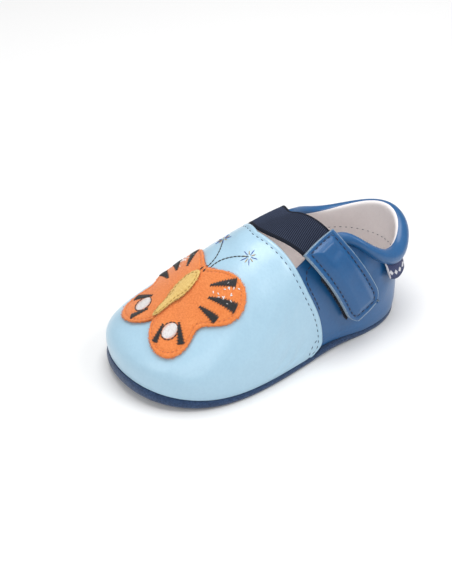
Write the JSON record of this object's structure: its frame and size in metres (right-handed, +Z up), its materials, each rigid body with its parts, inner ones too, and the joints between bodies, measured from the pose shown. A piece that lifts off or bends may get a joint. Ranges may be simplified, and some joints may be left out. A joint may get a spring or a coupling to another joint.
{
  "type": "baby shoe",
  "caption": "Left soft-sole leather baby shoe with a rounded toe, a low padded collar, an elastic instep strap that ends in a hook-and-loop tab, and a flat suede sole.",
  "frame": {"origin": "on the floor under the middle of the shoe's length, on the flat underside of the sole", "axes": "+Z up, -Y towards the toe, +X towards the outer side of the left foot"},
  "size_m": [0.0639, 0.133, 0.0541],
  "materials": {
    "sole_suede": "napped navy suede",
    "lining_leather": "unglazed beige lining leather",
    "quarter_leather": "smooth blue leather, soft sheen",
    "vamp_leather": "smooth pale blue leather, soft sheen",
    "strap_elastic": "ribbed navy elastic",
    "hook_and_loop": "dark hook and loop",
    "label_weave": "woven navy tape",
    "orange_suede": "napped orange suede",
    "yellow_suede": "napped yellow suede"
  },
  "bodies": {
    "root": {"outsole": "sole_suede", "insole": "lining_leather", "upper": "quarter_leather", "vamp": "vamp_leather", "collar_roll": "quarter_leather", "elastic_strap": "strap_elastic", "strap_tab": "quarter_leather", "fastener_pad": "hook_and_loop", "heel_label": "label_weave", "applique_wings": "orange_suede", "applique_body": "yellow_suede"}
  },
  "joints": []
}
